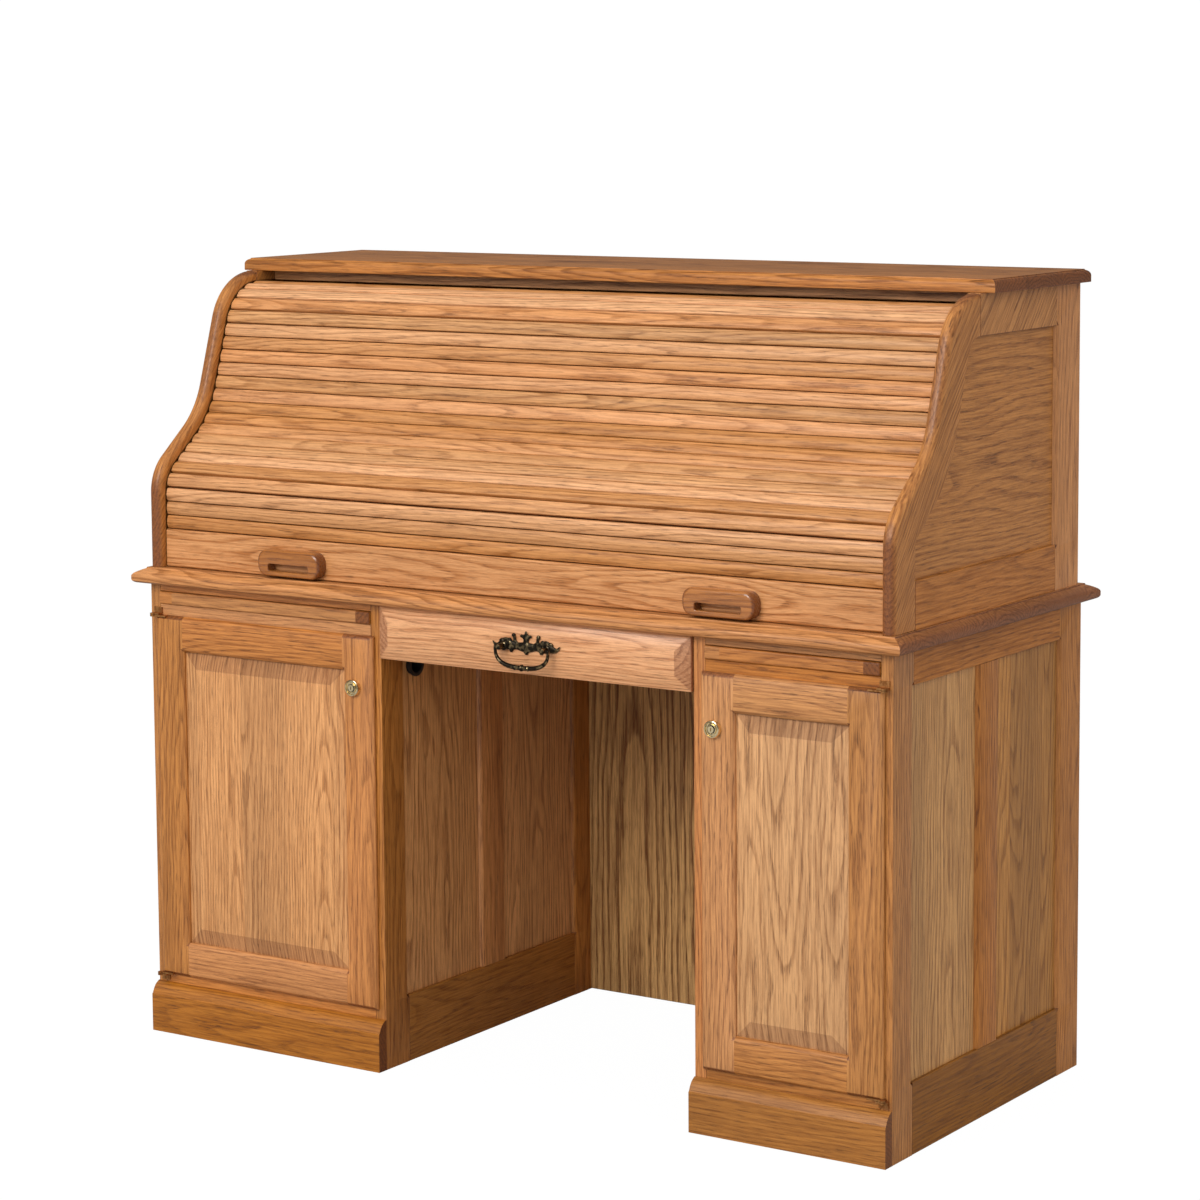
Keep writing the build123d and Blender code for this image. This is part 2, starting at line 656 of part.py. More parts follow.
def track():
    """Line that the middle of every slat lies on when the tambour is shut."""
    edges = s_line(TRACK_IN)
    end = edges[-1] @ 1
    return Wire(edges + [Line(end, (end.X + LEAD_H, end.Y))])


def on_track(wire, distance, section, x):
    """Stand a section, drawn along and out from the track, across the desk at a distance up it."""
    spot = wire.position_at(distance, position_mode=PositionMode.LENGTH)
    along = wire.tangent_at(distance, position_mode=PositionMode.LENGTH)
    plane = Plane((x[0], spot.X, spot.Y), x_dir=(0, along.X, along.Y), z_dir=(1, 0, 0))
    return extrude(plane * section, x[1] - x[0])


def slat_section(width):
    half = width / 2
    dome = ThreePointArc((-half, SLAT_EDGE), (0, SLAT_FRONT), (half, SLAT_EDGE))
    sides = [(half, SLAT_EDGE), (half, -SLAT_BACK), (-half, -SLAT_BACK), (-half, SLAT_EDGE)]
    return make_face([dome, *chain(sides)])


def tambour():
    wire = track()
    x = (-HUTCH_IN + END_CLEAR, HUTCH_IN - END_CLEAR)
    straight = S_RISE + S_SLOPE + S_STEEP
    turns = (
        (S_LOW_R - TRACK_IN) * S_LOW_TURN
        + (S_HOLLOW_R + TRACK_IN) * S_HOLLOW_TURN
        + (S_HIGH_R - TRACK_IN) * S_HIGH_TURN
    )
    length = straight + turns * 3.14159265 / 180
    pitch = (length + PAST_CROWN - LEAD_H) / SLATS
    lead = Pos(0, (LEAD_FRONT - LEAD_BACK) / 2) * RectangleRounded(
        LEAD_H - SLAT_GAP, LEAD_FRONT + LEAD_BACK, LEAD_ROUND
    )
    save("tambour_lead_rail", on_track(wire, LEAD_H / 2, lead, x))
    for number in range(1, SLATS + 1):
        middle = LEAD_H + (number - 0.5) * pitch
        save(f"tambour_slat_{number:02d}", on_track(wire, middle, slat_section(pitch - SLAT_GAP), x))


def tambour_handles():
    wide, high, thick = HANDLE
    face_y = TRACK_IN - LEAD_FRONT
    handles = []
    for x in (-HANDLE_X, HANDLE_X):
        plane = Plane((x, face_y, HANDLE_Z), x_dir=(1, 0, 0), z_dir=(0, -1, 0))
        grip = extrude(plane * RectangleRounded(wide, high, HANDLE_ROUND), thick)
        grip = fillet(grip.faces().sort_by(Axis.Y)[0].edges(), LEAD_ROUND)
        slot = Plane((x, face_y, FINGER_Z), x_dir=(1, 0, 0), z_dir=(0, -1, 0))
        round_end = FINGER_SLOT[1] / 2 - 0.1
        handles.append(grip - extrude(slot * RectangleRounded(*FINGER_SLOT, round_end), thick))
    save("tambour_handles", *handles)


pedestal_sides()
cable_grommet()
front_rails()
plinths()
pedestal_shelves()
shelf_pins()
back_panels()
modesty_panel()
slide_cleats()
desktop()
top_board()
hutch_sides()
pigeonhole_case()
doors()
writing_boards()
drawer_front()
drawer_box()
drawer_pull()
drawer_bail()
tambour()
tambour_handles()
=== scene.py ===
import json
import math
import random

import bpy
import numpy as np
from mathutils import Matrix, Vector


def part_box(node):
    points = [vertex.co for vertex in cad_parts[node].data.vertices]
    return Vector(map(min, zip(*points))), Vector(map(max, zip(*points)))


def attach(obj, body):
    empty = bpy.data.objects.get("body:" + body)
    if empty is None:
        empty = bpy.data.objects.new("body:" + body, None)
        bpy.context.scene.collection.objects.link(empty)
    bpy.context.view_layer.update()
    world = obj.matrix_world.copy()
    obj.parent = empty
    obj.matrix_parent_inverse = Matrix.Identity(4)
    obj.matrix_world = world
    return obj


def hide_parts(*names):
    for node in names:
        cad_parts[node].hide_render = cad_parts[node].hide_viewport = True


# Roll top desk in satin lacquered oak. Metres, +Z up, +Y towards the back, X along the width.

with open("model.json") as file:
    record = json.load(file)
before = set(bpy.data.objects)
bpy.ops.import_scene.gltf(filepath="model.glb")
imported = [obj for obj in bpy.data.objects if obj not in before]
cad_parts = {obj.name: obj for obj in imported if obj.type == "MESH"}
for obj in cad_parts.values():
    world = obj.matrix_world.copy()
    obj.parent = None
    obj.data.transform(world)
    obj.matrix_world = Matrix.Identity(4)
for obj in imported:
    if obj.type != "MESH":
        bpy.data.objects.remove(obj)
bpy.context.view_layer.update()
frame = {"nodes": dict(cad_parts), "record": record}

MM = 0.001
draw = random.Random(41)
BODIES = frame["record"]["behaviour"]["bodies"]
BODY_OF = {node: body for body, nodes in BODIES.items() for node in nodes}


# ---- bench work: selecting, joining and fitting pieces


def only(*things):
    """Select just these objects, with the first one active."""
    bpy.ops.object.select_all(action="DESELECT")
    for thing in things:
        thing.select_set(True)
    bpy.context.view_layer.objects.active = things[0]


def shape(piece):
    only(piece)
    bpy.ops.object.mode_set(mode="EDIT")


def done():
    bpy.ops.object.mode_set(mode="OBJECT")


def pick(piece, kind, test):
    """Open a piece with the points, edges or faces selected whose middle and direction pass the test."""
    if piece.mode == "EDIT":
        done()
    mesh = piece.data
    points = [v.co for v in mesh.vertices]
    for group in (mesh.vertices, mesh.edges, mesh.polygons):
        group.foreach_set("select", [False] * len(group))
    if kind == "VERT":
        for point in mesh.vertices:
            point.select = bool(test(point.co, None))
    elif kind == "EDGE":
        for edge in mesh.edges:
            a, b = (points[i] for i in edge.vertices)
            edge.select = bool(test((a + b) / 2, (b - a).normalized()))
    else:
        for face in mesh.polygons:
            face.select = bool(test(face.center, face.normal))
    bpy.context.tool_settings.mesh_select_mode = [kind == k for k in ("VERT", "EDGE", "FACE")]
    shape(piece)


def block(name, low, high):
    """A squared blank between two corners, ready to be shaped."""
    low, high = Vector(low), Vector(high)
    bpy.ops.object.select_all(action="DESELECT")
    bpy.ops.mesh.primitive_cube_add(size=1, location=(low + high) / 2, scale=high - low)
    piece = bpy.context.object
    piece.name = name
    bpy.ops.object.transform_apply(location=True, rotation=True, scale=True)
    return piece


def bar(name, radius, length, centre, sides=48, turn=(math.pi / 2, 0, 0)):
    """A round blank, lying from front to back unless turned otherwise."""
    bpy.ops.object.select_all(action="DESELECT")
    bpy.ops.mesh.primitive_cylinder_add(
        vertices=sides, radius=radius, depth=length, location=centre, rotation=turn
    )
    piece = bpy.context.object
    piece.name = name
    bpy.ops.object.transform_apply(location=True, rotation=True, scale=True)
    return piece


def fit(piece, kind, name, **settings):
    """Add a modifier to a piece and apply it."""
    only(piece)
    modifier = piece.modifiers.new(name, kind)
    for key, value in settings.items():
        setattr(modifier, key, value)
    bpy.ops.object.modifier_apply(modifier=modifier.name)


def smooth(piece, degrees=30):
    only(piece)
    bpy.ops.object.shade_smooth_by_angle(angle=math.radians(degrees), keep_sharp_edges=False)


def ease(piece, width=0.8 * MM):
    """Take the sharpness off every arris, and close the ends that butt against a neighbour."""
    fit(piece, "BEVEL", "arris", width=width, segments=1, limit_method="ANGLE", angle_limit=0.5)
    shape(piece)
    bpy.ops.mesh.select_all(action="SELECT")
    bpy.ops.mesh.fill_holes(sides=0)
    done()
    smooth(piece)


def join(name, parts):
    only(*parts)
    if len(parts) > 1:
        bpy.ops.object.join()
    piece = bpy.context.view_layer.objects.active
    piece.name = name
    return piece


def show(piece, finish, *nodes):
    """Give a piece its finish and let it stand for CAD nodes."""
    piece.data.materials.clear()
    piece.data.materials.append(finish)
    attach(piece, BODY_OF[nodes[0]])
    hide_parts(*nodes)


# ---- timber: boards taken from the CAD nodes, each with its own grain


def shells(mesh):
    """Faces of each closed board in a mesh of loose triangles, where boards may touch."""
    spots = {}
    spot = [spots.setdefault(tuple(round(c, 5) for c in v.co), len(spots)) for v in mesh.vertices]
    sides = {}
    for face in mesh.polygons:
        ring = [spot[i] for i in face.vertices]
        for a, b in zip(ring, ring[1:] + ring[:1]):
            sides.setdefault((min(a, b), max(a, b)), []).append(face.index)
    home = list(range(len(mesh.polygons)))

    def root(i):
        while home[i] != i:
            i = home[i]
        return i

    for faces in sides.values():
        if len(faces) == 2:
            home[root(faces[0])] = root(faces[1])
    boards = {}
    for i in range(len(home)):
        boards.setdefault(root(i), set()).add(i)
    return list(boards.values())


def boards_of(node):
    """A CAD node's boards as separate merged copies."""
    source = frame["nodes"][node].data
    boards = []
    for number, keep in enumerate(shells(source)):
        board = bpy.data.objects.new(f"{node}_board_{number}", source.copy())
        bpy.context.scene.collection.objects.link(board)
        for face in board.data.polygons:
            face.select = face.index not in keep
        bpy.context.tool_settings.mesh_select_mode = (False, False, True)
        shape(board)
        bpy.ops.mesh.delete(type="FACE")
        bpy.ops.mesh.select_all(action="SELECT")
        bpy.ops.mesh.remove_doubles(threshold=0.01 * MM)
        bpy.ops.mesh.customdata_custom_splitnormals_clear()
        bpy.ops.mesh.dissolve_limited(angle_limit=math.radians(0.6))
        done()
        boards.append(board)
    return boards


def extent(board):
    points = np.array([v.co for v in board.data.vertices])
    return points.min(0), points.max(0)


def glue_up(name, boards):
    """Join boards, without the bare faces that are left where two of them butt."""
    solid = []
    for board in boards:
        low, high = extent(board)
        if min(high - low) > 0.05 * MM:
            solid.append(board)
        else:
            bpy.data.objects.remove(board)
    return join(name, solid)


def lay_grain(board, along=None, across=None, tone=None, level=1.0, turn_in=0.1):
    """Write each point's place along, across and through its board, and what stock it was cut from; for the
    panels facing the kneehole, the tone given is painted light that lifts them out of the recess's shade.

    A low level keeps the growth rings of a raised panel even where its bevels slope.
    Faces that lean more than turn_in towards the grain's direction show end grain.
    """
    mesh = board.data
    points = np.array([v.co for v in mesh.vertices])
    low, high = points.min(0), points.max(0)
    if along is None:
        axes = np.eye(3)[np.argsort(high - low)[::-1]]
    else:
        axes = np.array([along, across, np.cross(along, across)], float)
    places = (points - (low + high) / 2) @ axes.T * (1, 1, level)
    stock_and_painted_light = [draw.uniform(-1, 1) if tone is None else tone, draw.uniform(-1, 1), draw.uniform(0, 90)]
    normals = np.array([f.normal for f in mesh.polygons])
    ends = np.clip((np.abs(normals @ axes[0]) - turn_in) / (0.35 + turn_in), 0, 1)
    grain = mesh.attributes.new("grain", "FLOAT_VECTOR", "POINT")
    grain.data.foreach_set("vector", places.astype(np.float32).ravel())
    source = mesh.attributes.new("stock_and_painted_light", "FLOAT_VECTOR", "POINT")
    source.data.foreach_set("vector", np.tile(np.float32(stock_and_painted_light), len(points)))
    end = mesh.attributes.new("endgrain", "FLOAT", "FACE")
    end.data.foreach_set("value", ends.astype(np.float32))


def timber(node, finish, along=None, across=None, work=None, grain=None):
    """One CAD node's boards, eased, grained and joined again as the piece that stands for it."""
    boards = boards_of(node)
    for board in boards:
        if work:
            work(board)
        ease(board)
        if grain:
            grain(board)
        else:
            lay_grain(board, along, across)
    piece = glue_up(f"{node}_oak", boards)
    show(piece, finish, node)
    return piece


# ---- finishes


def node(tree, kind, inputs=(), **settings):
    """Add a shader node; inputs are pairs of a socket and a value or another node's output."""
    made = tree.nodes.new("ShaderNode" + kind)
    for key, value in settings.items():
        setattr(made, key, value)
    for socket, value in inputs:
        if isinstance(value, bpy.types.NodeSocket):
            tree.links.new(value, made.inputs[socket])
        else:
            made.inputs[socket].default_value = value
    return made


def blank(name):
    material = bpy.data.materials.new(name)
    material.use_nodes = True
    tree = material.node_tree
    return material, tree, tree.nodes["Principled BSDF"]


def calc(tree, operation, *terms):
    return node(tree, "Math", list(enumerate(terms)), operation=operation).outputs[0]


def ramp(tree, value, low, high, start=0.0, end=1.0):
    """Ease a value from one number to another between two limits."""
    inputs = [(0, value), (1, low), (2, high), (3, start), (4, end)]
    return node(tree, "MapRange", inputs, interpolation_type="SMOOTHSTEP").outputs[0]


def scaled(tree, vector, factors):
    return node(tree, "VectorMath", [(0, vector), (1, factors)], operation="MULTIPLY").outputs[0]


def cloud(tree, vector, detail):
    return node(tree, "TexNoise", [("Vector", vector), ("Scale", 1.0), ("Detail", detail)]).outputs[0]


def mix(tree, factor, a, b, blend="MIX"):
    inputs = [(0, factor), (6, a), (7, b)]
    return node(tree, "Mix", inputs, data_type="RGBA", blend_type=blend).outputs[2]


def strip_of(tree, grain, seed, strip):
    """A point's place within its glued strip, and the strip's four random shares."""
    along, across, through = node(tree, "SeparateXYZ", [(0, grain)]).outputs
    lane = calc(tree, "FLOOR", calc(tree, "MULTIPLY_ADD", across, 1 / strip, 0.5))
    number = calc(tree, "MULTIPLY_ADD", lane, 7.13, seed)
    dice = node(tree, "TexWhiteNoise", [("W", number)], noise_dimensions="1D").outputs
    first, second, third = node(tree, "SeparateColor", [(0, dice["Color"])]).outputs
    side = calc(tree, "MULTIPLY_ADD", lane, -strip, across)
    return (along, side, through), (first, second, third, dice["Value"])


def path_through(tree, place, shares):
    """Each strip's own line through the noise, so that no two show the same figure."""
    along, side, through = place
    far = calc(tree, "MULTIPLY_ADD", shares[2], 9.0, along)
    deepness = calc(tree, "MULTIPLY_ADD", shares[1], 3.0, through)
    return node(tree, "CombineXYZ", [(0, far), (1, side), (2, deepness)]).outputs[0]


def early_wood(tree, place, path, shares, spread, wander, ring):
    """How open the wood is at a point, from its share of the year's ring round a wandering pith."""
    along, side, through = place
    pith_side = calc(tree, "MULTIPLY_ADD", calc(tree, "SUBTRACT", shares[0], 0.5), -spread, side)
    pith_deep = calc(tree, "ADD", calc(tree, "MULTIPLY_ADD", shares[1], 0.07, 0.015), through)
    square = calc(tree, "MULTIPLY_ADD", pith_side, pith_side, calc(tree, "MULTIPLY", pith_deep, pith_deep))
    reach = calc(tree, "POWER", square, 0.5)
    slow = cloud(tree, scaled(tree, path, (1.7, 7, 7)), 2.0)
    quick = cloud(tree, scaled(tree, path, (8, 45, 45)), 2.0)
    reach = calc(tree, "MULTIPLY_ADD", calc(tree, "SUBTRACT", slow, 0.5), wander * 2, reach)
    reach = calc(tree, "MULTIPLY_ADD", calc(tree, "SUBTRACT", quick, 0.5), 0.006, reach)
    taper = calc(tree, "MULTIPLY", calc(tree, "SUBTRACT", shares[3], 0.5), 0.07)
    reach = calc(tree, "MULTIPLY_ADD", along, taper, reach)
    year = calc(tree, "FRACT", calc(tree, "DIVIDE", reach, ring))
    return calc(tree, "MAXIMUM", ramp(tree, year, 0.0, 0.5, 1.0, 0.0), ramp(tree, year, 0.9, 1.0))


def figure(tree, fibre, early, lines, pale, deep, rings):
    """The wood's colour: pale to deep by fibre and ring, with dark pore lines."""
    shade = calc(tree, "MULTIPLY_ADD", calc(tree, "SUBTRACT", fibre, 0.5), 1.9, 0.3)
    shade = calc(tree, "MULTIPLY_ADD", early, rings, shade)
    colours = node(tree, "ValToRGB", [(0, shade)])
    stops = colours.color_ramp.elements
    stops[0].position, stops[0].color = 0.1, (*pale, 1)
    stops[1].position, stops[1].color = 0.95, (*deep, 1)
    pore_colour = (*[c * 0.42 for c in deep], 1)
    return mix(tree, calc(tree, "MULTIPLY", lines, 0.95), colours.outputs[0], pore_colour)


def stained(tree, wood, path, tone, warm, own, glue):
    """Board by board and strip by strip, the wood is a little lighter, darker or warmer."""
    patch = cloud(tree, scaled(tree, path, (3, 13, 13)), 2.0)
    light = calc(tree, "MULTIPLY_ADD", tone, 0.15, 1.0)
    light = calc(tree, "MULTIPLY_ADD", calc(tree, "SUBTRACT", own, 0.5), glue, light)
    light = calc(tree, "MULTIPLY_ADD", calc(tree, "SUBTRACT", patch, 0.5), 0.35, light)
    hue = calc(tree, "MULTIPLY_ADD", warm, -0.003, 0.499)
    full = calc(tree, "MULTIPLY_ADD", tone, -0.05, 1.02)
    full = calc(tree, "MULTIPLY_ADD", warm, 0.04, full)
    inputs = [("Hue", hue), ("Saturation", full), ("Value", light), ("Color", wood)]
    return node(tree, "HueSaturation", inputs).outputs[0]


def oak(
    name, pale, deep, strip=10.0, spread=0.16, wander=0.03, ring=0.0058, rings=0.55, rough=0.4, coat=0.1,
    glue=0.0,
):
    """Lacquered oak with growth rings round a pith, fine fibres, open pores and darker end grain.

    A strip is one board of a glued panel, spread is how far its pith may lie to the side, ring is
    one year's width, rings is how dark they are, and glue is how much the strips differ in tone.
    """
    material, tree, skin = blank(name)
    grain = node(tree, "Attribute", attribute_name="grain").outputs["Vector"]
    stock_and_painted_light = node(tree, "Attribute", attribute_name="stock_and_painted_light").outputs["Vector"]
    end = node(tree, "Attribute", attribute_name="endgrain").outputs["Fac"]
    tone, warm, seed = node(tree, "SeparateXYZ", [(0, stock_and_painted_light)]).outputs
    place, shares = strip_of(tree, grain, seed, strip)
    path = path_through(tree, place, shares)
    early = early_wood(tree, place, path, shares, spread, wander, ring)
    fibre = cloud(tree, scaled(tree, path, (13, 360, 360)), 3.0)
    pore = ramp(tree, cloud(tree, scaled(tree, path, (42, 640, 640)), 2.0), 0.5, 0.66)
    lines = calc(tree, "MULTIPLY", pore, calc(tree, "MULTIPLY_ADD", early, 0.5, 0.32))
    wood = figure(tree, fibre, early, lines, pale, deep, rings)
    wood = stained(tree, wood, path, tone, warm, shares[3], glue)
    wood = mix(tree, calc(tree, "MULTIPLY", end, 0.9), wood, (0.44, 0.33, 0.29, 1), "MULTIPLY")
    height = calc(tree, "MULTIPLY_ADD", lines, -1.0, calc(tree, "MULTIPLY", fibre, 0.5))
    bump = node(tree, "Bump", [("Strength", 0.35), ("Distance", 0.4 * MM), ("Height", height)]).outputs[0]
    tree.links.new(wood, skin.inputs["Base Color"])
    tree.links.new(bump, skin.inputs["Normal"])
    tree.links.new(ramp(tree, fibre, 0.3, 0.7, rough, rough + 0.12), skin.inputs["Roughness"])
    skin.inputs["Coat Weight"].default_value = coat
    skin.inputs["Coat Roughness"].default_value = 0.18
    return material


def metal(name, bright, dull, share, rough, scale=160.0):
    """Cast or turned metal, dull, and rubbed bright in patches."""
    material, tree, skin = blank(name)
    place = node(tree, "TexCoord").outputs["Object"]
    rub = ramp(tree, cloud(tree, scaled(tree, place, (scale,) * 3), 3.0), share - 0.12, share + 0.12)
    tree.links.new(mix(tree, rub, (*bright, 1), (*dull, 1)), skin.inputs["Base Color"])
    tree.links.new(calc(tree, "MULTIPLY_ADD", rub, 0.2, rough), skin.inputs["Roughness"])
    bump = node(tree, "Bump", [("Strength", 0.1), ("Distance", 0.2 * MM), ("Height", rub)]).outputs[0]
    tree.links.new(bump, skin.inputs["Normal"])
    skin.inputs["Metallic"].default_value = 1.0
    return material


def moulded_plastic(name, colour):
    material, tree, skin = blank(name)
    place = node(tree, "TexCoord").outputs["Object"]
    speck = cloud(tree, scaled(tree, place, (1500,) * 3), 2.0)
    tree.links.new(mix(tree, speck, (*colour, 1), (*[c * 1.7 for c in colour], 1)), skin.inputs["Base Color"])
    tree.links.new(calc(tree, "MULTIPLY_ADD", speck, 0.2, 0.35), skin.inputs["Roughness"])
    bump = node(tree, "Bump", [("Strength", 0.2), ("Distance", 0.1 * MM), ("Height", speck)]).outputs[0]
    tree.links.new(bump, skin.inputs["Normal"])
    return material


FRAME_OAK = oak("frame oak", (0.6, 0.25, 0.068), (0.28, 0.09, 0.016), rings=0.36)
PANEL_OAK = oak("panel oak", (0.62, 0.31, 0.1), (0.31, 0.122, 0.028), strip=0.105, spread=0.12, glue=0.3)
DOOR_OAK = oak(
    "door panel oak", (0.68, 0.345, 0.135), (0.33, 0.13, 0.034), strip=0.09, spread=0.1, glue=0.3, rings=0.42,
)
SHEET_OAK = oak(
    "modesty panel oak", (0.68, 0.38, 0.13), (0.2, 0.07, 0.012), strip=0.2, spread=0.04, wander=0.02,
    ring=0.0095,
)
WAVY_OAK = oak(
    "hutch panel oak", (0.57, 0.22, 0.042), (0.29, 0.088, 0.012), strip=0.21, spread=0.1, wander=0.04,
    ring=0.009, rings=0.42,
)
TOP_OAK = oak("top oak", (0.6, 0.27, 0.095), (0.29, 0.105, 0.025), strip=0.12, spread=0.16, glue=0.2)
SLAT_OAK = oak(
    "slat oak", (0.72, 0.355, 0.145), (0.38, 0.15, 0.043), spread=0.09, rough=0.36, coat=0.15, rings=0.45,
)
FACE_OAK = oak("drawer face oak", (0.74, 0.385, 0.175), (0.44, 0.18, 0.06), spread=0.1, rough=0.36, coat=0.15)
GRIP_OAK = oak("grip oak", (0.46, 0.17, 0.04), (0.25, 0.075, 0.013), spread=0.1, rough=0.2, coat=0.7)
INNER_OAK = oak("inner oak", (0.62, 0.36, 0.16), (0.38, 0.18, 0.06), rough=0.6, coat=0.0)
BACK_PLY = oak("back ply", (0.58, 0.36, 0.18), (0.38, 0.2, 0.09), strip=0.3, rough=0.65, coat=0.0)
BRASS = metal("lock brass", (0.95, 0.8, 0.5), (0.42, 0.32, 0.16), 0.6, 0.16)
DARK_BRASS = metal("antiqued brass", (0.34, 0.25, 0.13), (0.035, 0.028, 0.02), 0.42, 0.22)
HINGE_BRONZE = metal("oak toned bronze", (0.62, 0.32, 0.12), (0.46, 0.21, 0.07), 0.5, 0.55)
STEEL = metal("pin steel", (0.62, 0.62, 0.6), (0.4, 0.4, 0.4), 0.5, 0.3)
BLACK = moulded_plastic("black grommet plastic", (0.012, 0.012, 0.013))


# ---- lower part: frames, panels, shelves and backs

side_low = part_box("left_outer_side_frame")[0]
WINDOW_Z = (107 * MM, 684 * MM)
ARRIS = 5.5 * MM
NEAR = 0.2 * MM
PANEL_SPANS = ((60 * MM, 259 * MM), (327 * MM, 527 * MM))


def window_arris(board, face_x, spans, window, width=ARRIS):
    """Chamfer the arrises that a side frame's member shows round its panels."""
    bottom, top = window
    low, high = extent(board)
    if low[2] < bottom - MM and high[2] > top + MM:
        for height in window:
            shape(board)
            bpy.ops.mesh.select_all(action="SELECT")
            bpy.ops.mesh.bisect(plane_co=(0, 0, height), plane_no=(0, 0, 1))
            done()

    def shown(middle, way):
        if abs(middle.x - face_x) > NEAR:
            return False
        upright = abs(way.z) > 0.9 and bottom < middle.z < top
        beside = upright and any(abs(middle.y - y) < NEAR for span in spans for y in span)
        level = abs(way.y) > 0.9 and any(abs(middle.z - z) < NEAR for z in window)
        above = level and any(a - MM < middle.y < b + MM for a, b in spans)
        return beside or above

    pick(board, "EDGE", shown)
    bpy.ops.mesh.bevel(offset=width, affect="EDGES", segments=1)
    done()


def side_frame(name, face_x, low_rail_tone):
    """A pedestal side whose members are chamfered round the two panels, on the shown face."""
    spans = [(side_low.y + start, side_low.y + end) for start, end in PANEL_SPANS]

    def grain(board):
        is_low_rail = extent(board)[1][2] < WINDOW_Z[0] + MM
        lay_grain(board, tone=low_rail_tone if is_low_rail else None)

    timber(name, FRAME_OAK, work=lambda board: window_arris(board, face_x, spans, WINDOW_Z), grain=grain)


CLAMP_WIDTH = 40 * MM


def writing_board(name):
    """Grain runs across the leaf; the end at the right is a clamp that runs from front to back."""
    right_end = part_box(name)[1].x

    def grain(board):
        low, high = extent(board)
        clamp = high[0] - low[0] < CLAMP_WIDTH and right_end - high[0] < MM
        axes = ((0, 1, 0), (1, 0, 0)) if clamp else ((1, 0, 0), (0, 1, 0))
        lay_grain(board, *axes, tone=-0.6 if clamp else 0.3)

    timber(name, FRAME_OAK, grain=grain)


def lower_part():
    for name, at_low, low_rail_tone in (
        ("left_outer_side_frame", True, -3.0),
        ("left_inner_side_frame", False, -1.6),
        ("right_inner_side_frame", True, -1.6),
        ("right_outer_side_frame", False, -3.0),
    ):
        low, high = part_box(name)
        side_frame(name, low.x if at_low else high.x, low_rail_tone)
    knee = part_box("left_inner_side_frame")[1].x + MM

    def side_panel_grain_with_painted_light(board):
        low, high = extent(board)
        painted_light_facing_knee = abs((low[0] + high[0]) / 2 - knee) < 30 * MM
        # Panels facing the kneehole get a lighter tone: painted light, standing in for light reaching into
        # the kneehole's shade.
        lay_grain(board, tone=1.6 if painted_light_facing_knee else None)

    def door_panel_grain(board):
        lay_grain(board, level=0.1, turn_in=0.04)

    timber("pedestal_side_panels", PANEL_OAK, grain=side_panel_grain_with_painted_light)
    timber("modesty_panel", SHEET_OAK)
    timber("front_rails", FRAME_OAK)
    timber("pedestal_shelves", INNER_OAK)
    timber("slide_cleats", INNER_OAK)
    timber("back_panels", BACK_PLY)
    for side in ("left", "right"):
        timber(f"{side}_door_frame", FRAME_OAK)
        timber(f"{side}_door_panel", DOOR_OAK, grain=door_panel_grain)
        writing_board(f"{side}_writing_board")
    timber("drawer_front", FACE_OAK)
    timber("drawer_box", INNER_OAK)


# ---- upper part

LEAN = math.radians(50)
SLANT = ((0, math.cos(LEAN), math.sin(LEAN)), (0, -math.sin(LEAN), math.cos(LEAN)))
LEVEL = ((0, 1, 0), (0, 0, 1))
PANEL_TONGUE = 8 * MM
STILE_ARRIS = 6.5 * MM
STILE_HEIGHT = 440 * MM
STILE_BACK = 400 * MM
RAIL_HEIGHT = 100 * MM
OPEN_SIDE = 300 * MM


def hutch_side(side):
    """Curved side: an upright rear stile, a level low rail, and boards that lean back along the curve."""
    name = f"hutch_{side}_side_frame"
    boards = boards_of(name)
    base = min(extent(board)[0][2] for board in boards)
    panel_low, panel_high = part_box("hutch_side_panels")
    window = (panel_low.z + PANEL_TONGUE, panel_high.z - PANEL_TONGUE)
    side_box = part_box(name)
    outer = side_box[0].x if side == "left" else side_box[1].x
    for board in boards:
        low, high = extent(board)
        rear_stile = high[2] - low[2] > STILE_HEIGHT and low[1] > side_low.y + STILE_BACK
        if rear_stile:
            window_arris(board, outer, [(low[1] - OPEN_SIDE, low[1])], window, STILE_ARRIS)
        ease(board)
        if rear_stile:
            lay_grain(board, tone=0.9)
        elif high[2] - base < RAIL_HEIGHT:
            lay_grain(board, *LEVEL, tone=-0.4)
        else:
            lay_grain(board, *SLANT, tone=-0.3)
    show(glue_up(f"{name}_oak", boards), FRAME_OAK, name)


def upper_part():
    hutch_side("left")
    hutch_side("right")
    timber("hutch_side_panels", WAVY_OAK, *LEVEL)
    timber("pigeonhole_case", INNER_OAK)
    timber("tambour_lead_rail", FACE_OAK)
    for number in range(1, 23):
        timber(f"tambour_slat_{number:02d}", SLAT_OAK)


# ---- moulded boards: desktop, top board and plinths


def moulded_slab(name, low, high, under, over):
    """A slab shaped from its widest band: rings go in and down below it, in and up above it."""
    band_low = low.z + sum(step[1] for step in under)
    band_high = high.z - sum(step[1] for step in over)
    slab = block(name, (low.x, low.y, band_low), (high.x, high.y, band_high))
    for way, steps in ((-1, under), (1, over)):
        pick(slab, "FACE", lambda middle, normal: normal.z * way > 0.9)
        for inward, outward in steps:
            bpy.ops.mesh.inset(thickness=inward, depth=outward)
        done()
    smooth(slab, 26)
    return slab


def steps(*pairs):
    return [(inward * MM, outward * MM) for inward, outward in pairs]


def desktop():
    low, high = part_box("desktop")
    under = steps((0.5, 1.6), (1.3, 1.7), (2.2, 1.5), (3.0, 1.0))
    over = steps(
        (0.5, 1.4), (1.2, 1.7), (2.2, 1.9), (4.2, 2.3), (5.0, 2.3), (4.6, 1.7), (0.2, 1.6), (0.6, 0.4),
    )
    slab = moulded_slab("desktop_oak", low, high, under, over)
    lay_grain(slab, (1, 0, 0), (0, 1, 0), tone=0.1)
    show(slab, TOP_OAK, "desktop")


HEAD_RAIL_SET = 30.5 * MM
HEAD_RAIL_THICK = 8 * MM
HEAD_RAIL_LAP = 0.4 * MM


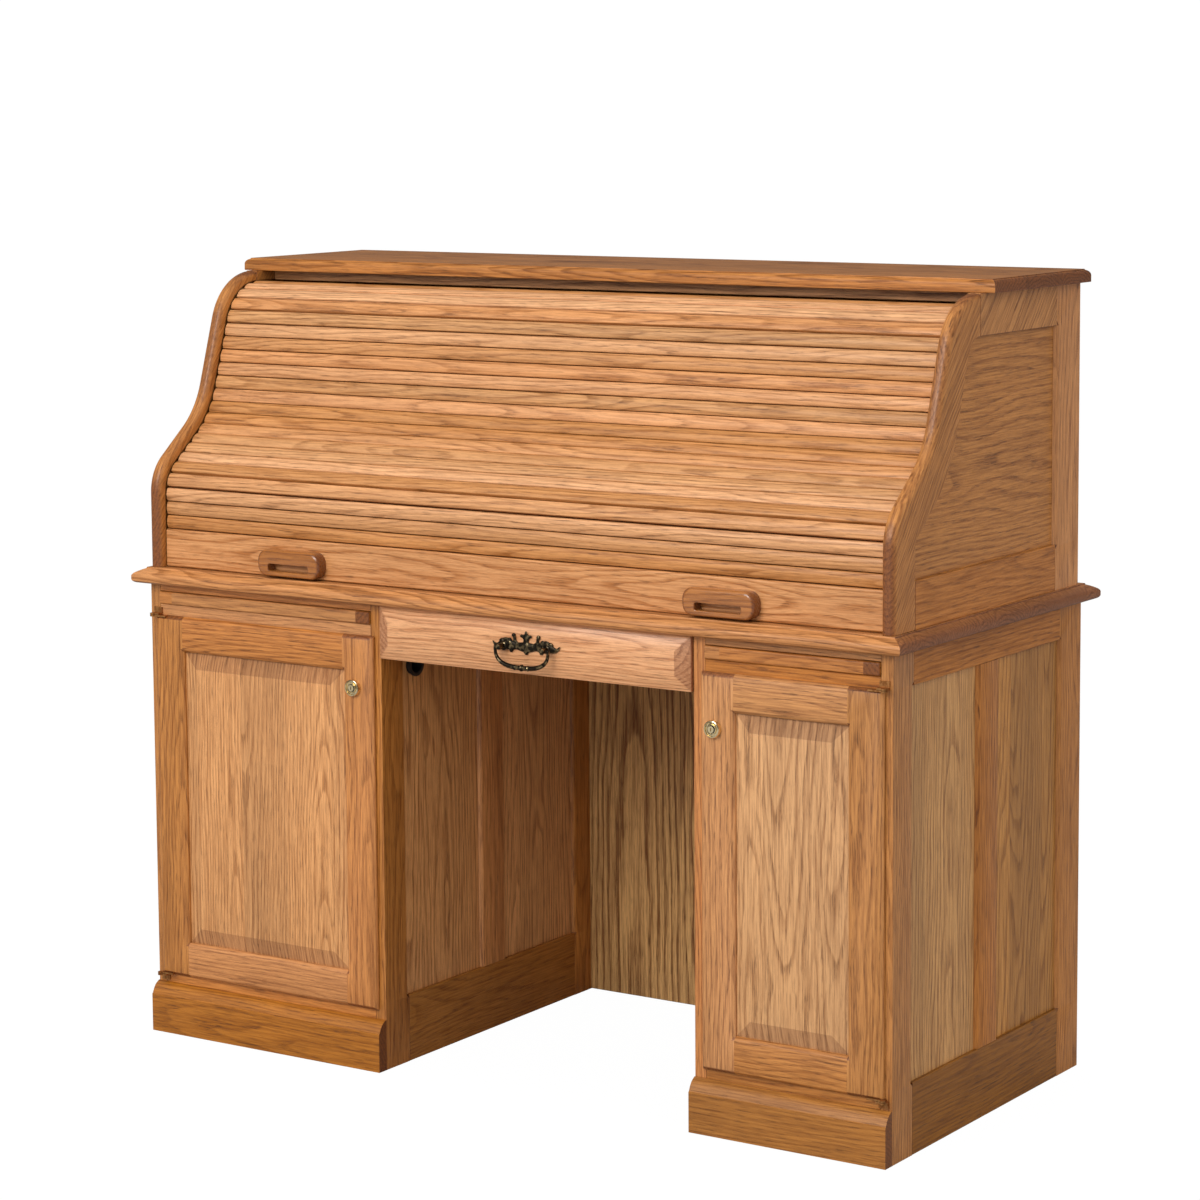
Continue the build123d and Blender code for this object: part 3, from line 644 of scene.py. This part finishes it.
def top_board():
    """Moulded top board, with the head rail that hangs under it in front of the topmost slat."""
    low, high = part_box("top_board")
    under = steps((0.3, 0.6))
    over = steps((0.3, 2.2), (0.9, 2.1), (1.6, 1.9), (2.0, 1.4), (2.4, 0.9), (0.2, 1.1), (0.6, 0.3))
    slab = moulded_slab("top_board_slab", low, high, under, over)
    lay_grain(slab, (1, 0, 0), (0, 1, 0), tone=-1.1)
    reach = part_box("tambour_slat_22")[1]
    front = low.y + HEAD_RAIL_SET
    rail_low = (-reach.x, front, reach.z - HEAD_RAIL_LAP)
    rail = block("head_rail", rail_low, (reach.x, front + HEAD_RAIL_THICK, low.z + MM))
    ease(rail)
    lay_grain(rail, (1, 0, 0), (0, 0, 1))
    show(join("top_board_oak", [slab, rail]), TOP_OAK, "top_board")


PLINTH_FLAT = 61 * MM
PLINTH_CURVE = steps((1.2, 0.6), (1.6, 3.6), (2.2, 4.4), (2.8, 4.0), (3.0, 2.8), (3.2, 1.9), (2.4, 1.7))


def plinth(name, low_x, high_x, front, back):
    """A plinth whose top front edge is worked to a soft ogee, step by step."""
    board = block(name, (low_x, front, 0), (high_x, back, PLINTH_FLAT))
    top, face = PLINTH_FLAT, front
    for inward, upward in PLINTH_CURVE:
        pick(board, "FACE", lambda middle, normal: normal.z > 0.9)
        bpy.ops.mesh.extrude_region_move(TRANSFORM_OT_translate={"value": (0, 0, upward)})
        done()
        top += upward
        pick(board, "VERT", lambda point, _: point.z > top - 0.1 * MM and point.y < face + 0.1 * MM)
        bpy.ops.transform.translate(value=(0, inward, 0))
        done()
        face += inward
    smooth(board, 28)
    lay_grain(board, tone=-1.3)
    return board


def plinths():
    low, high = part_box("plinths")
    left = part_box("left_inner_side_frame")[1].x
    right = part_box("right_inner_side_frame")[0].x
    boards = [
        plinth("left_plinth", low.x, left, low.y, high.y),
        plinth("right_plinth", right, high.x, low.y, high.y),
    ]
    show(join("plinths_oak", boards), FRAME_OAK, "plinths")


# ---- finger grips on the lead rail


GRIP_CORNER = 17 * MM
GRIP_WALL = 13 * MM
SLOT_DROP = 6.5 * MM
SLOT_HALF = (42 * MM, 9 * MM)
HOOD_ROUND = 6.6 * MM
SLOT_ROUND = 1.4 * MM


def front_corners(loop):
    """Middles of the edges where the flat front turns into a wall."""
    mesh = loop.data
    flat = {key for face in mesh.polygons if face.normal.y < -0.9 for key in face.edge_keys}
    wall = {key for face in mesh.polygons if abs(face.normal.y) < 0.1 for key in face.edge_keys}
    return {tuple(sum((mesh.vertices[i].co for i in key), Vector()) / 2) for key in flat & wall}


def round_rim(loop, in_slot, width, segments):
    """Round the front corners whose middles pass the slot test."""
    corners = front_corners(loop)
    pick(loop, "EDGE", lambda middle, _: in_slot(middle) and tuple(middle) in corners)
    bpy.ops.mesh.bevel(offset=width, affect="EDGES", segments=segments)
    done()


def grip(name, low, high):
    """A loop of wood with a rounded hood above a low finger slot."""
    loop = block(name, low, high)
    pick(loop, "EDGE", lambda middle, way: abs(way.y) > 0.9)
    bpy.ops.mesh.bevel(offset=GRIP_CORNER, affect="EDGES", segments=7)
    pick(loop, "FACE", lambda middle, normal: abs(normal.y) > 0.9)
    bpy.ops.mesh.inset(thickness=GRIP_WALL)
    centre = (Vector(low) + Vector(high)) / 2
    bpy.ops.transform.resize(value=(0.8, 1, 0.72), center_override=centre)
    bpy.ops.transform.translate(value=(0, 0, -SLOT_DROP))
    bpy.ops.mesh.bridge_edge_loops()
    done()

    def at_front(middle):
        return middle.y <= low[1] + 0.1 * MM

    def slot(middle):
        across, above = middle.x - centre.x, middle.z - centre.z + SLOT_DROP
        return abs(across) < SLOT_HALF[0] and abs(above) < SLOT_HALF[1]

    round_rim(loop, lambda middle: at_front(middle) and not slot(middle), HOOD_ROUND, 6)
    round_rim(loop, lambda middle: at_front(middle) and slot(middle), SLOT_ROUND, 2)
    smooth(loop, 40)
    lay_grain(loop, (1, 0, 0), (0, 0, 1))
    return loop


GRIP_LENGTH = 124 * MM


def grips():
    low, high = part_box("tambour_handles")
    loops = [
        grip("left_grip", low, (low.x + GRIP_LENGTH, high.y, high.z)),
        grip("right_grip", (high.x - GRIP_LENGTH, low.y, low.z), high),
    ]
    show(join("finger_grips", loops), GRIP_OAK, "tambour_handles")


# ---- locks, hinges, pins and grommet


LOCK_RINGS = steps(
    (0.9, 1.7), (1.1, 0.6), (0.8, 0), (0.7, -1.8), (1.2, 0), (0.6, 1.8), (0.9, 0), (0.6, -1.2), (0.6, 0),
)
LOCK_LIP = 4 * MM
LOCK_FRONT = 2.4 * MM
LOCK_BORE = 5.9 * MM
LOCK_SPREAD = 1.12


def lock(side):
    """Turned lock face with raised rings round the bore that its plug turns in."""
    low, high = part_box(f"{side}_door_lock")
    middle = (low + high) / 2
    barrel = (high.x - low.x) / 2 - LOCK_LIP
    radius = LOCK_SPREAD * (high.x - low.x) / 2
    front = low.y + LOCK_FRONT
    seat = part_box(f"{side}_door_frame")[0].y
    face = bar(f"{side}_lock", radius, seat - front, (middle.x, (front + seat) / 2, middle.z))
    pick(face, "FACE", lambda point, normal: normal.y < -0.9)
    for inward, outward in LOCK_RINGS:
        bpy.ops.mesh.inset(thickness=inward, depth=outward)
    pick(face, "FACE", lambda point, normal: normal.y > 0.9)
    bpy.ops.mesh.inset(thickness=radius - barrel)
    bpy.ops.mesh.extrude_region_move(TRANSFORM_OT_translate={"value": (0, high.y - seat, 0)})
    bpy.ops.mesh.inset(thickness=barrel - LOCK_BORE)

    def middle_disc(point, normal):
        return abs(normal.y) > 0.9 and math.hypot(point.x - middle.x, point.z - middle.z) < MM

    pick(face, "FACE", middle_disc)
    bpy.ops.mesh.bridge_edge_loops()
    done()
    smooth(face, 30)
    show(face, BRASS, f"{side}_door_lock")


def ball(centre, radii):
    bpy.ops.object.select_all(action="DESELECT")
    bpy.ops.mesh.primitive_uv_sphere_add(segments=24, ring_count=12, radius=1, location=centre, scale=radii)
    piece = bpy.context.object
    bpy.ops.object.transform_apply(location=True, rotation=True, scale=True)
    return piece


def spike(start, end, thick, thin):
    """A tapered round arm between two points."""
    start, end = Vector(start), Vector(end)
    bpy.ops.object.select_all(action="DESELECT")
    bpy.ops.mesh.primitive_cone_add(
        vertices=20, radius1=thick, radius2=thin, depth=(end - start).length, location=(start + end) / 2,
        rotation=(end - start).to_track_quat("Z", "Y").to_euler(),
    )
    piece = bpy.context.object
    bpy.ops.object.transform_apply(location=True, rotation=True, scale=True)
    return piece


def cast(name, parts, grain):
    """Melt simple shapes into one casting."""
    piece = join(name, parts)
    fit(piece, "REMESH", "melt", mode="VOXEL", voxel_size=grain)
    fit(piece, "SMOOTH", "soften", factor=0.5, iterations=2)
    smooth(piece, 60)
    return piece


# Half of the backplate, in mm across and up from its middle: arms by start, end and two radii,
# balls by middle and two radii.

PLATE_ARMS = (
    ((0, 0), (17, 1.2), 8.5, 5.2),
    ((17, 1.2), (30, 2), 5.2, 8.0),
    ((27, -2), (27.5, -9), 5.5, 2.2),
    ((42, 2), (52, -1), 7.5, 4.2),
    ((51, -1), (58, 1.5), 4.0, 2.4),
    ((57, 1), (61, 6), 2.6, 1.0),
    ((17, 4), (21, 9), 3.8, 2.8),
    ((21, 9), (21, 15), 2.8, 2.5),
    ((0, 4), (0, 17), 5.6, 4.0),
    ((0, 12), (7, 18), 3.6, 2.6),
    ((7, 18), (10, 15.5), 2.6, 1.8),
    ((0, 15), (0, 25), 5.0, 1.2),
    ((0, -4), (0, -11), 6.4, 2.4),
)
PLATE_BALLS = (
    (0, 0, 9.8, 8.8),
    (36, 3.5, 10.2, 9.6),
    (22.5, 17, 3.5, 3.4),
    (30, 9, 4.0, 4.0),
    (44, 7, 5.0, 4.0),
)
PLATE_RELIEF = 0.42
POST_OUT = 39.5 * MM


def mount_post(x, front, pin, face, z):
    """A post of the bail: a round stem with a domed end, a swell at the pin and a foot on the plate."""
    return [
        bar("post", 3.9 * MM, face - front, (x, (face + front) / 2, z), 24),
        ball((x, front + 2.5 * MM, z), (4.6 * MM, 2.5 * MM, 4.6 * MM)),
        ball((x, face - 4 * MM, z), (7 * MM, 3 * MM, 7 * MM)),
        ball((x, pin, z), (5 * MM, 4.4 * MM, 4.6 * MM)),
    ]


def pull_plate():
    """Cast backplate: a crowned boss between two rosettes, with scrolls, and a post in each rosette."""
    low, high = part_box("drawer_pull_plate")
    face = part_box("drawer_front")[0].y
    bail_low, bail_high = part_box("drawer_bail")
    pin = (bail_low.y + bail_high.y) / 2
    centre = Vector(((low.x + high.x) / 2, face - 1.6 * MM, (low.z + high.z) / 2))
    parts = []
    for way in (-1, 1):
        for start, end, thick, thin in PLATE_ARMS:
            ends = [centre + Vector((way * x, 0, z)) * MM for x, z in (start, end)]
            parts.append(spike(*ends, thick * MM, thin * MM))
        for x, z, wide, tall in PLATE_BALLS:
            parts.append(ball(centre + Vector((way * x, 0, z)) * MM, (wide * MM, 5 * MM, tall * MM)))
    plate = join("pull_plate_parts", parts)
    pick(plate, "VERT", lambda point, _: True)
    bpy.ops.transform.resize(value=(1, PLATE_RELIEF, 1), center_override=centre)
    done()
    posts = []
    for way in (-1, 1):
        posts += mount_post(centre.x + way * POST_OUT, low.y, pin, face, centre.z)
    piece = cast("pull_plate", [plate, *posts], 0.55 * MM)
    # What lies behind the drawer's face is pressed flat against it.
    pick(piece, "VERT", lambda point, _: point.y > face)
    bpy.ops.transform.resize(value=(1, 0, 1), center_override=(0, face, 0))
    done()
    smooth(piece, 60)
    show(piece, DARK_BRASS, "drawer_pull_plate")


BAIL_BEADS = ((-12.5, 3.2, 4.3), (-7.6, 1.9, 3.5), (0, 4.2, 5.2), (6.2, 1.9, 3.6), (11.5, 3.2, 4.3))
BAIL_REACH = 48 * MM
BAIL_DROP = 29 * MM
BAIL_SQUARENESS = 0.72
BAIL_STOPS = 36
PIN_THICK = 2.0 * MM


def squared(value):
    return math.copysign(abs(value) ** BAIL_SQUARENESS, value)


def bail_point(share):
    """A place on the flattened half-oval, from the right end at 0 to the left end at 1."""
    angle = math.pi * share
    down = max(math.sin(angle), 0)
    return Vector((BAIL_REACH * squared(math.cos(angle)), 0, -BAIL_DROP * squared(down)))


def bail():
    """Flattened half-oval bail, thicker towards a turned middle, with a pin at each end."""
    low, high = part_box("drawer_bail")
    plate_low, plate_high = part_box("drawer_pull_plate")
    pivot = Vector(((low.x + high.x) / 2, (low.y + high.y) / 2, (plate_low.z + plate_high.z) / 2))
    shares = [i / BAIL_STOPS for i in range(BAIL_STOPS + 1)]
    stops = [pivot + bail_point(share) for share in shares]
    thick = [(2.4 + 1.35 * math.sin(math.pi * share) ** 1.5) * MM for share in shares]
    parts = [ball(stop, (wide,) * 3) for stop, wide in zip(stops, thick)]
    for i in range(BAIL_STOPS):
        parts.append(spike(stops[i], stops[i + 1], thick[i], thick[i + 1]))
    for x, wide, tall in BAIL_BEADS:
        parts.append(ball(pivot + Vector((x * MM, 0, -BAIL_DROP)), (wide * MM, tall * MM, tall * MM)))
    for way in (-1, 1):
        inner = pivot + Vector((way * 40 * MM, 0, 0))
        parts.append(spike(pivot + Vector((way * BAIL_REACH, 0, 0)), inner, PIN_THICK, PIN_THICK))
    show(cast("bail", parts, 0.5 * MM), DARK_BRASS, "drawer_bail")


def carried(name, finish):
    """A CAD node whose shape is right gets its finish."""
    frame["nodes"][name].material_slots[0].material = finish


def fittings():
    lock("left")
    lock("right")
    for side in ("left", "right"):
        carried(f"{side}_lock_plug", BRASS)
        carried(f"{side}_door_hinges", HINGE_BRONZE)
    carried("frame_hinges", HINGE_BRONZE)
    carried("shelf_pins", STEEL)
    carried("cable_grommet", BLACK)
    pull_plate()
    bail()


# ---- floor, lights and camera


def lamp(name, place, target, size, power):
    data = bpy.data.lights.new(name, "AREA")
    data.size = size
    data.energy = power
    light = bpy.data.objects.new(name, data)
    bpy.context.scene.collection.objects.link(light)
    light.location = place
    light.rotation_mode = "QUATERNION"
    light.rotation_quaternion = (Vector(target) - Vector(place)).to_track_quat("-Z", "Y")


def sky():
    """Even white light, dimmer in reflections and plain white to the camera."""
    world = bpy.data.worlds.new("studio")
    bpy.context.scene.world = world
    world.use_nodes = True
    tree = world.node_tree
    tree.nodes.clear()
    ray = node(tree, "LightPath").outputs
    soft = node(tree, "Background", [("Color", (1, 1, 1, 1)), ("Strength", 1.1)])
    seen = node(tree, "Background", [("Color", (1, 1, 1, 1)), ("Strength", 1.05)])
    dim = node(tree, "Background", [("Color", (1, 0.97, 0.94, 1)), ("Strength", 0.16)])
    glossy = node(tree, "MixShader", [(0, ray["Is Glossy Ray"]), (1, soft.outputs[0]), (2, dim.outputs[0])])
    whole = node(tree, "MixShader", [(0, ray["Is Camera Ray"]), (1, glossy.outputs[0]), (2, seen.outputs[0])])
    node(tree, "OutputWorld", [(0, whole.outputs[0])])


def studio():
    """A pale floor that glows to the camera only, and one large lamp in front."""
    bpy.ops.object.select_all(action="DESELECT")
    bpy.ops.mesh.primitive_plane_add(size=60, location=(0, 0, 0))
    floor = bpy.context.object
    floor.name = "floor"
    material, tree, skin = blank("pale floor")
    skin.inputs["Base Color"].default_value = (0.32, 0.31, 0.3, 1)
    skin.inputs["Roughness"].default_value = 0.9
    glow = node(tree, "Emission", [("Color", (1, 1, 1, 1)), ("Strength", 1.06)])
    seen = calc(tree, "MULTIPLY", node(tree, "LightPath").outputs["Is Camera Ray"], 0.93)
    pale = node(tree, "MixShader", [(0, seen), (1, skin.outputs[0]), (2, glow.outputs[0])])
    tree.links.new(pale.outputs[0], tree.nodes["Material Output"].inputs["Surface"])
    floor.data.materials.append(material)

    sky()
    lamp("front_light", (-0.6, -5.0, 3.6), (0, 0, 0.6), 2.6, 150)


def camera():
    data = bpy.data.cameras.new("camera")
    data.sensor_width = 36
    data.lens = 102.9
    data.shift_y = -0.1
    data.clip_end = 100
    view = bpy.data.objects.new("camera", data)
    bpy.context.scene.collection.objects.link(view)
    view.location = (2.961, -4.457, 1.532)
    view.rotation_euler = (math.radians(90 - 6.6), math.radians(0.4), math.radians(33.59))
    bpy.context.scene.camera = view


lower_part()
upper_part()
desktop()
top_board()
plinths()
grips()
fittings()
studio()
camera()
bpy.context.scene.view_settings.view_transform = "Standard"
